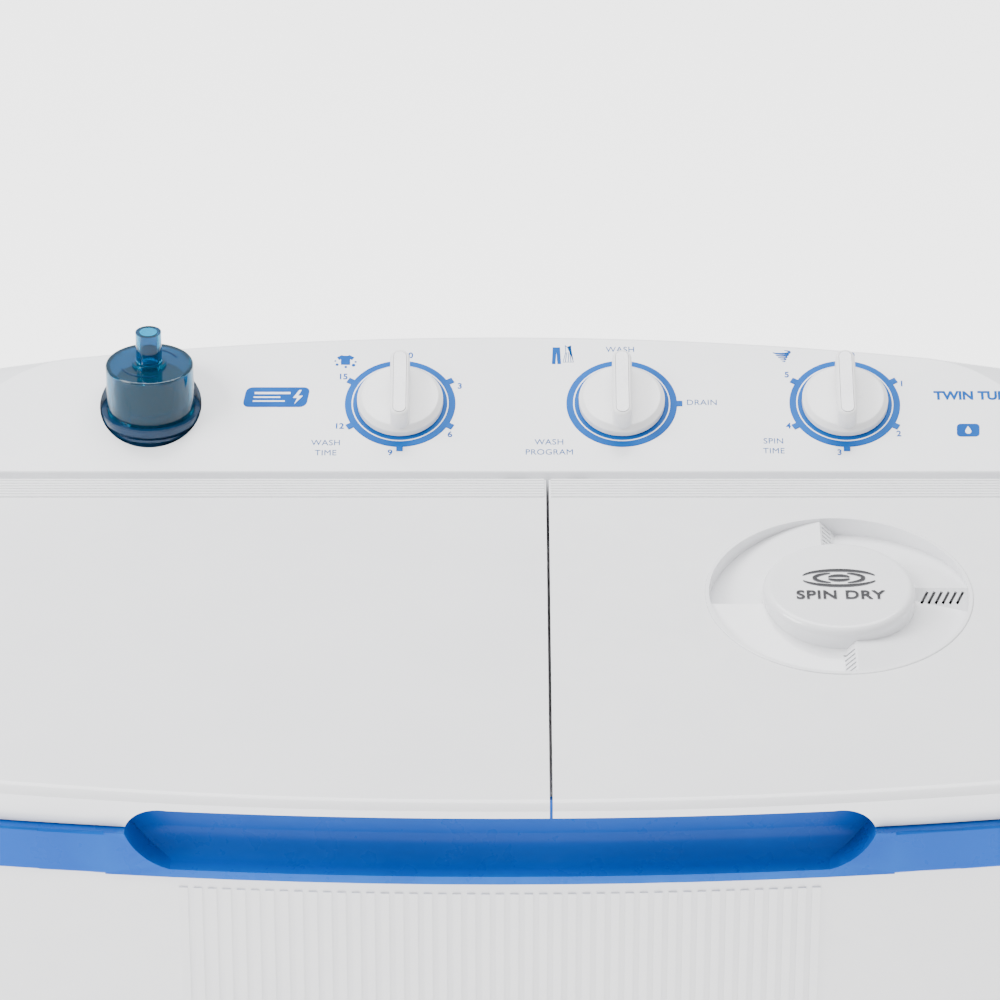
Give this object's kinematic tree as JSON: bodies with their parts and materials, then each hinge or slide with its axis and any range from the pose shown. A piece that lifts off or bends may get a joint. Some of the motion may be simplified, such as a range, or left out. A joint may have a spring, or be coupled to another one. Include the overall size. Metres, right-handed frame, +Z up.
{
  "type": "twin tub washer",
  "caption": "Free-standing twin tub washer: wash tub with pulsator, spin basket, two hinged lids, sloped dial console and a blue grip band.",
  "frame": {"origin": "centre of the footprint at floor level, under the feet", "axes": "+Z up, -Y is the bowed front with the grip band, +X to the right when facing the front"},
  "size_m": [0.77, 0.464, 0.9617],
  "materials": {
    "white_paint": "satin",
    "white_plastic": "gloss",
    "tub_plastic": "satin",
    "grey_plastic": "matte",
    "dark_plastic": "matte",
    "blue_plastic": "gloss",
    "dial_blue": "satin",
    "pulsator_blue": "satin",
    "filter_blue": "satin",
    "inlet_blue_solid": "gloss",
    "inlet_clear_blue": "clear",
    "silver_insert": "polished",
    "steel": "bright",
    "basket_steel": "brushed",
    "galvanised": "satin",
    "cast_metal": "as cast",
    "black_rubber": "matte"
  },
  "bodies": {
    "cabinet_assembly": {"side_panels": "white_paint", "cabinet_front": "white_paint", "base_frame": "grey_plastic", "feet": "grey_plastic", "foot_pads": "black_rubber", "front_trim": "blue_plastic", "top_deck": "white_plastic", "console_housing": "white_plastic", "console_rear_cover": "white_plastic", "dial_rings": "dial_blue", "wash_timer": "dark_plastic", "program_switch": "dark_plastic", "spin_timer": "dark_plastic", "inlet_base": "inlet_blue_solid", "inlet_duct": "tub_plastic", "lid_hinge_pins": "steel", "rear_panel": "galvanised", "panel_screws": "steel", "cord_gland": "black_rubber", "wash_tub": "tub_plastic", "overflow_cover": "tub_plastic", "wash_gearcase": "cast_metal", "wash_belt": "black_rubber", "motor_bracket": "galvanised", "wash_motor": "galvanised", "drain_valve_housing": "tub_plastic", "drain_pipe": "grey_plastic", "spin_outer_tub": "tub_plastic", "spin_motor": "galvanised", "spin_motor_springs": "steel", "spin_bellows": "black_rubber", "capacitor": "dark_plastic"},
    "wash_lid": {"wash_lid": "white_plastic"},
    "spin_lid": {"spin_lid": "white_plastic", "spin_lid_vent": "white_plastic", "spin_lid_disc": "white_plastic"},
    "wash_timer_control": {"wash_timer_knob": "white_plastic", "wash_knob_insert": "silver_insert", "wash_timer_shaft": "steel"},
    "program_control": {"program_knob": "white_plastic", "program_knob_insert": "silver_insert", "program_shaft": "steel"},
    "spin_timer_control": {"spin_timer_knob": "white_plastic", "spin_knob_insert": "silver_insert", "spin_timer_shaft": "steel"},
    "inlet_selector": {"inlet_cap": "inlet_clear_blue"},
    "wash_rotor": {"pulsator": "pulsator_blue", "pulsator_screw": "steel", "wash_shaft": "steel", "wash_pulley": "cast_metal"},
    "wash_motor_rotor": {"wash_motor_shaft": "steel", "wash_motor_pulley": "cast_metal"},
    "spin_rotor": {"spin_basket": "basket_steel", "balance_ring": "tub_plastic", "spin_shaft": "steel", "brake_drum": "cast_metal"},
    "spin_pressure_cover": {"spin_pressure_cover": "filter_blue"},
    "brake": {"brake_lever": "galvanised"},
    "drain_plug": {"drain_valve_plug": "black_rubber"},
    "lint_filter": {"lint_filter": "filter_blue"}
  },
  "joints": [
    {"name": "wash_lid_hinge", "type": "hinge", "parent": "cabinet_assembly", "child": "wash_lid", "pos_m": [-0.17, 0.0955, 0.876], "axis": [-1, 0, 0], "range_deg": [0, 100]},
    {"name": "spin_lid_hinge", "type": "hinge", "parent": "cabinet_assembly", "child": "spin_lid", "pos_m": [0.2, 0.0955, 0.876], "axis": [-1, 0, 0], "range_deg": [0, 100]},
    {"name": "wash_timer_turn", "type": "hinge", "parent": "cabinet_assembly", "child": "wash_timer_control", "pos_m": [-0.064, 0.16224, 0.9091], "axis": [0, 0.3746, -0.9272], "range_deg": [0, 300]},
    {"name": "program_turn", "type": "hinge", "parent": "cabinet_assembly", "child": "program_control", "pos_m": [0.078, 0.16224, 0.9091], "axis": [0, 0.3746, -0.9272], "range_deg": [0, 90]},
    {"name": "spin_timer_turn", "type": "hinge", "parent": "cabinet_assembly", "child": "spin_timer_control", "pos_m": [0.221, 0.16224, 0.9091], "axis": [0, 0.3746, -0.9272], "range_deg": [0, 300]},
    {"name": "inlet_turn", "type": "hinge", "parent": "cabinet_assembly", "child": "inlet_selector", "pos_m": [-0.2238, 0.16149, 0.92], "axis": [0, 0, 1], "range_deg": [0, 90]},
    {"name": "wash_spin", "type": "hinge", "parent": "cabinet_assembly", "child": "wash_rotor", "pos_m": [-0.1725, -0.05, 0.45], "axis": [0, 0, 1], "continuous": true},
    {"name": "wash_motor_spin", "type": "hinge", "parent": "cabinet_assembly", "child": "wash_motor_rotor", "pos_m": [-0.1725, 0.102, 0.38], "axis": [0, 0, 1], "continuous": true},
    {"name": "spin_basket_spin", "type": "hinge", "parent": "cabinet_assembly", "child": "spin_rotor", "pos_m": [0.208, -0.046, 0.5], "axis": [0, 0, 1], "continuous": true},
    {"name": "pressure_cover_lift", "type": "slide", "parent": "spin_rotor", "child": "spin_pressure_cover", "axis": [0, 0, 1], "range_m": [0, 0.04]},
    {"name": "brake_swing", "type": "hinge", "parent": "cabinet_assembly", "child": "brake", "pos_m": [0.142, 0.019, 0.28], "axis": [0, 0, 1], "range_deg": [0, 3.1]},
    {"name": "drain_plug_lift", "type": "slide", "parent": "cabinet_assembly", "child": "drain_plug", "axis": [0, 0, 1], "range_m": [0, 0.0125]},
    {"name": "lint_filter_lift", "type": "slide", "parent": "cabinet_assembly", "child": "lint_filter", "axis": [0, 0, 1], "range_m": [0, 0.02]}
  ],
  "couplings": [
    {"joint": "wash_motor_spin", "follows": "wash_spin", "ratio": 3.7619},
    {"joint": "brake_swing", "follows": "spin_lid_hinge", "ratio": 0.03},
    {"joint": "drain_plug_lift", "follows": "program_turn", "m_per_rad": 0.007639}
  ]
}
